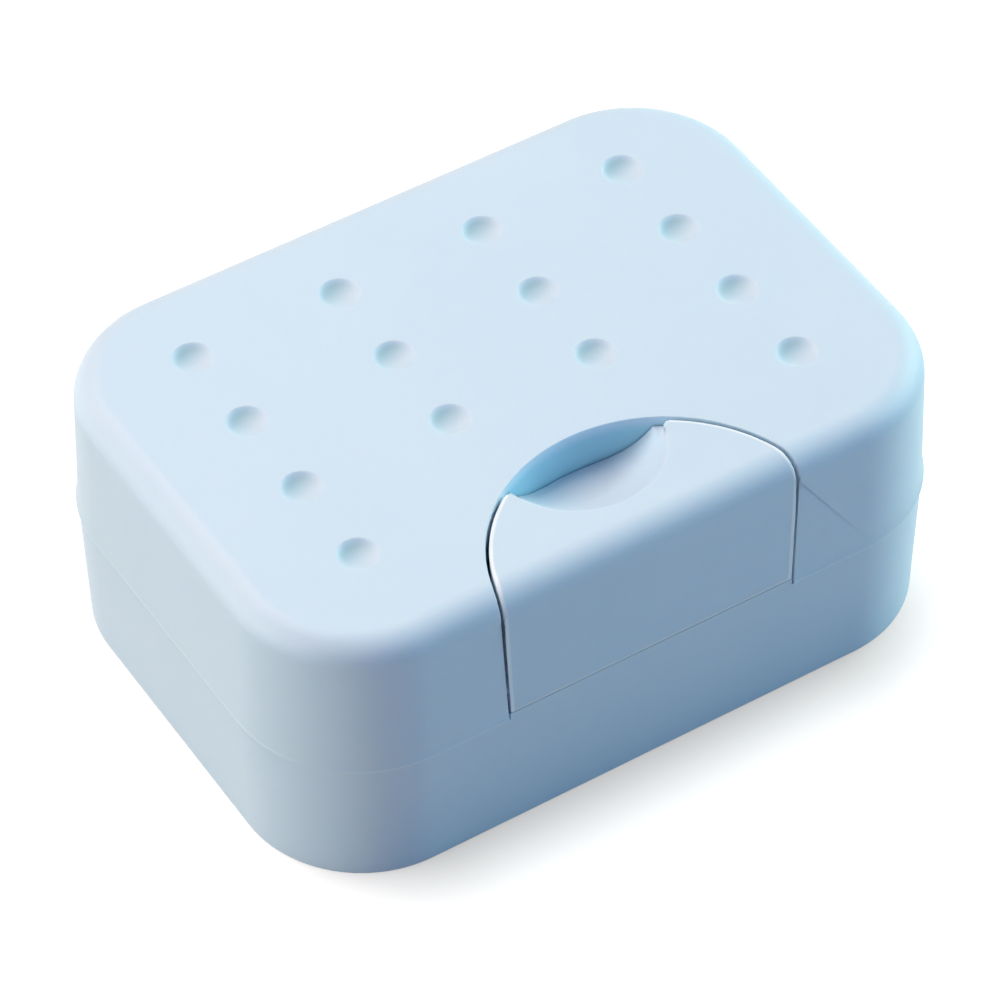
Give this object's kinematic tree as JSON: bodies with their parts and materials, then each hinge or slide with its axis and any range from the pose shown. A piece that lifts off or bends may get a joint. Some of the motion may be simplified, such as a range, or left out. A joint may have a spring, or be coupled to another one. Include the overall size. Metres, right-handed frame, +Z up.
{
  "type": "travel soap box",
  "caption": "Rounded hinged travel soap box with dimpled lid, arched front latch flap with a finger dish, rim seal and lift-out drain tray.",
  "frame": {"origin": "middle of the flat underside", "axes": "+X to the right along the long side, +Y from the latch side to the hinge side, +Z up"},
  "size_m": [0.11, 0.0846, 0.046],
  "materials": {
    "base_plastic": "pale blue satin polypropylene",
    "lid_plastic": "pale blue satin polypropylene",
    "latch_plastic": "pale blue satin polypropylene",
    "tray_plastic": "pale blue satin polypropylene",
    "seal_silicone": "milky white silicone",
    "pin_steel": "drawn stainless rod"
  },
  "bodies": {
    "base": {"base_shell": "base_plastic", "seal_ring": "seal_silicone", "hinge_pin_left": "pin_steel", "hinge_pin_right": "pin_steel"},
    "lid": {"lid_shell": "lid_plastic"},
    "latch": {"latch_flap": "latch_plastic"},
    "tray": {"drain_tray": "tray_plastic"}
  },
  "joints": [
    {"name": "lid_hinge", "type": "hinge", "parent": "base", "child": "lid", "pos_m": [0, 0.0425, 0.0224], "axis": [-1, 0, 0], "range_deg": [0, 110]},
    {"name": "latch_pivot", "type": "hinge", "parent": "lid", "child": "latch", "pos_m": [0, -0.0373, 0.0272], "axis": [1, 0, 0], "range_deg": [0, 18]},
    {"name": "tray_lift", "type": "slide", "parent": "base", "child": "tray", "axis": [0, 0, 1], "range_m": [0, 0.024]}
  ]
}
